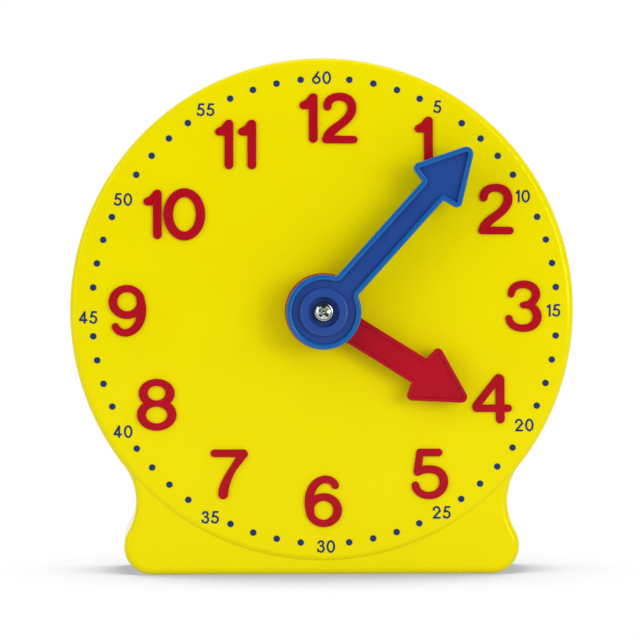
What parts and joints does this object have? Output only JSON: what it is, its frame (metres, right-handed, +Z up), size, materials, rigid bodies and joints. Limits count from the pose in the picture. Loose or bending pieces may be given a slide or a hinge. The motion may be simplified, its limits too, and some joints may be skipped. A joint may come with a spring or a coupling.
{
  "type": "teaching clock",
  "caption": "Free-standing pupil's clock face with a hollow foot, raised hour numerals, a minute track and geared hands turned by finger.",
  "frame": {"origin": "on the table, under the hands' axis and half way through the depth of the case", "axes": "+X to the right of someone who reads the dial, +Y from the dial towards the back, +Z up"},
  "size_m": [0.1244, 0.0384, 0.1276],
  "materials": {
    "case_yellow": "moulded yellow plastic, smooth, half gloss",
    "numeral_red": "moulded dark red plastic, smooth, half gloss",
    "print_blue": "pad-printed dark blue ink",
    "minute_hand_blue": "moulded blue plastic, glossy rim",
    "hour_hand_red": "moulded dark red plastic, smooth",
    "screw_steel": "plated steel",
    "spring_steel": "bright steel sheet",
    "arbor_brass": "turned brass",
    "gear_plastic": "natural white moulded plastic",
    "plate_plastic": "black moulded plastic"
  },
  "bodies": {
    "case": {"front_case": "case_yellow", "rear_cover": "case_yellow", "hour_numeral_01": "numeral_red", "hour_numeral_02": "numeral_red", "hour_numeral_03": "numeral_red", "hour_numeral_04": "numeral_red", "hour_numeral_05": "numeral_red", "hour_numeral_06": "numeral_red", "hour_numeral_07": "numeral_red", "hour_numeral_08": "numeral_red", "hour_numeral_09": "numeral_red", "hour_numeral_10": "numeral_red", "hour_numeral_11": "numeral_red", "hour_numeral_12": "numeral_red", "minute_numerals": "print_blue", "minute_dots": "print_blue", "intermediate_axle": "screw_steel", "gear_plate": "plate_plastic", "friction_spring": "spring_steel", "hour_gear_washer": "spring_steel", "intermediate_washer": "spring_steel", "case_screws": "screw_steel", "gear_plate_screws": "screw_steel"},
    "minute_works": {"minute_hand": "minute_hand_blue", "hand_screw": "screw_steel", "minute_arbor": "arbor_brass"},
    "hour_works": {"hour_hand": "hour_hand_red", "hour_gear": "gear_plastic"},
    "intermediate_works": {"intermediate_gear": "gear_plastic"}
  },
  "joints": [
    {"name": "minute_turn", "type": "hinge", "parent": "case", "child": "minute_works", "pos_m": [0, 0, 0.0654], "axis": [0, 1, 0], "continuous": true},
    {"name": "hour_turn", "type": "hinge", "parent": "case", "child": "hour_works", "pos_m": [0, 0, 0.0654], "axis": [0, 1, 0], "continuous": true},
    {"name": "intermediate_turn", "type": "hinge", "parent": "case", "child": "intermediate_works", "pos_m": [0, 0, 0.0414], "axis": [0, 1, 0], "continuous": true}
  ],
  "couplings": [
    {"joint": "hour_turn", "follows": "minute_turn", "ratio": 0.083333},
    {"joint": "intermediate_turn", "follows": "minute_turn", "ratio": -0.33333}
  ]
}
